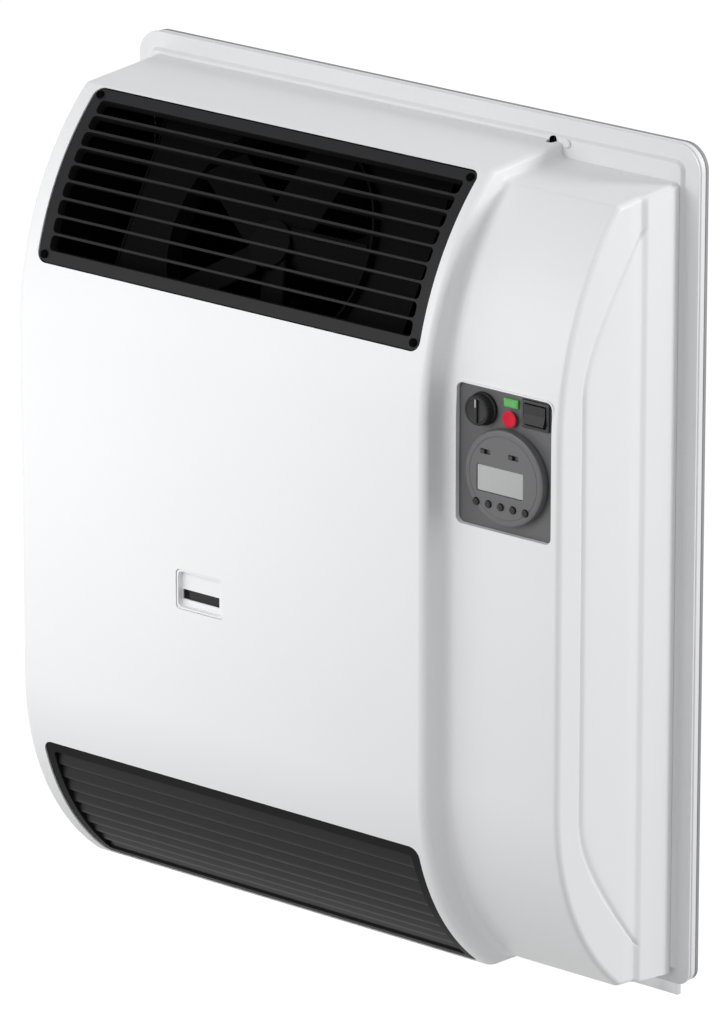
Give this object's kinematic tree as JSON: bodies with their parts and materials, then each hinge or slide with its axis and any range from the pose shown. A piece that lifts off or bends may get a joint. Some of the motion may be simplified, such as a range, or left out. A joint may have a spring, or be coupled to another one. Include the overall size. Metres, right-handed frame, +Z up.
{
  "type": "wall mounted gas heater",
  "caption": "Wall mounted gas room heater with a curved casing, an intake grille above, a warm air outlet below and a control panel on its right wing.",
  "frame": {"origin": "on the back of the wall plate, in the plane of the wall, halfway across, level with the bottom edge of the frame round the casing", "axes": "+X to the right as one faces the heater, +Y into the wall, +Z up"},
  "size_m": [0.582, 0.188, 0.714],
  "materials": {
    "white_enamel": "smooth satin white powder coat on pressed steel",
    "frame_enamel": "satin off-white powder coat",
    "black_steel": "matt black stove paint",
    "zinc": "zinc plated sheet",
    "steel": "plain heat-darkened steel",
    "brass": "turned brass",
    "grille_plastic": "matt black heat-resistant plastic",
    "black_plastic": "black plastic",
    "panel_plastic": "fine-grained mid grey plastic",
    "timer_plastic": "fine-grained grey plastic, lighter than the panel",
    "display_glass": "grey liquid crystal window",
    "green_lens": "clear green lens",
    "red_cap": "glossy red plastic",
    "rubber": "grey sealing foam",
    "sight_glass": "dark heat-proof glass",
    "ceramic": "glazed white ceramic",
    "circuit_board": "green circuit board"
  },
  "bodies": {
    "housing": {"wall_plate": "zinc", "wall_gasket": "rubber", "wall_frame": "frame_enamel", "trim_frame": "frame_enamel", "front_casing": "white_enamel", "bottom_panel": "zinc", "intake_grille": "grille_plastic", "outlet_grille": "grille_plastic", "grille_screw_1": "black_steel", "grille_screw_2": "black_steel", "grille_screw_3": "black_steel", "grille_screw_4": "black_steel", "casing_screw": "zinc", "sight_bezel": "white_enamel", "sight_glass": "sight_glass", "sight_tube": "steel", "control_plate": "panel_plastic", "thermostat_body": "steel", "thermostat_probe": "brass", "green_lamp": "green_lens", "reset_switch": "black_plastic", "rocker_frame": "black_plastic", "timer_housing": "timer_plastic", "timer_display": "display_glass", "combustion_chamber": "steel", "burner": "steel", "heat_exchanger": "zinc", "flue_outlet_tube": "steel", "air_intake_tube": "zinc", "flue_gasket": "rubber", "chamber_bracket_left": "zinc", "chamber_bracket_right": "zinc", "ignition_electrode": "ceramic", "flame_sensor": "ceramic", "gas_valve": "steel", "gas_inlet_fitting": "brass", "gas_manifold": "brass", "fan_motor": "steel", "fan_shroud": "black_steel", "fan_bracket": "zinc", "fan_mount_left": "zinc", "fan_mount_right": "zinc", "control_box": "zinc", "control_board": "circuit_board", "terminal_block": "panel_plastic", "cable_gland": "black_plastic"},
    "knob": {"thermostat_knob": "black_plastic", "thermostat_shaft": "steel"},
    "rocker": {"rocker_key": "black_plastic"},
    "reset": {"reset_button": "red_cap"},
    "button_1": {"timer_button_1": "black_plastic"},
    "button_2": {"timer_button_2": "black_plastic"},
    "button_3": {"timer_button_3": "black_plastic"},
    "button_4": {"timer_button_4": "black_plastic"},
    "button_5": {"timer_button_5": "black_plastic"},
    "slide_left": {"timer_slide_left": "black_plastic"},
    "slide_right": {"timer_slide_right": "black_plastic"},
    "fan": {"fan_impeller": "black_plastic", "fan_shaft": "steel"}
  },
  "joints": [
    {"name": "thermostat_turn", "type": "hinge", "parent": "housing", "child": "knob", "pos_m": [0.1931, -0.1572, 0.5027], "axis": [0, 1, 0], "range_deg": [0, 270]},
    {"name": "rocker_tip", "type": "hinge", "parent": "housing", "child": "rocker", "pos_m": [0.2451, -0.1562, 0.5068], "axis": [1, 0, 0], "range_deg": [0, 18]},
    {"name": "reset_press", "type": "slide", "parent": "housing", "child": "reset", "axis": [0, 1, 0], "range_m": [0, 0.0025], "stiffness_N_per_m": 400, "springref_m": -0.002},
    {"name": "button_1_press", "type": "slide", "parent": "housing", "child": "button_1", "axis": [0, 1, 0], "range_m": [0, 0.001], "stiffness_N_per_m": 500, "springref_m": -0.001},
    {"name": "button_2_press", "type": "slide", "parent": "housing", "child": "button_2", "axis": [0, 1, 0], "range_m": [0, 0.001], "stiffness_N_per_m": 500, "springref_m": -0.001},
    {"name": "button_3_press", "type": "slide", "parent": "housing", "child": "button_3", "axis": [0, 1, 0], "range_m": [0, 0.001], "stiffness_N_per_m": 500, "springref_m": -0.001},
    {"name": "button_4_press", "type": "slide", "parent": "housing", "child": "button_4", "axis": [0, 1, 0], "range_m": [0, 0.001], "stiffness_N_per_m": 500, "springref_m": -0.001},
    {"name": "button_5_press", "type": "slide", "parent": "housing", "child": "button_5", "axis": [0, 1, 0], "range_m": [0, 0.001], "stiffness_N_per_m": 500, "springref_m": -0.001},
    {"name": "slide_left_move", "type": "slide", "parent": "housing", "child": "slide_left", "axis": [1, 0, 0], "range_m": [0, 0.0052]},
    {"name": "slide_right_move", "type": "slide", "parent": "housing", "child": "slide_right", "axis": [1, 0, 0], "range_m": [0, 0.0052]},
    {"name": "fan_spin", "type": "hinge", "parent": "housing", "child": "fan", "pos_m": [-0.07, -0.1, 0.572], "axis": [0, -0.866, 0.5], "continuous": true}
  ]
}
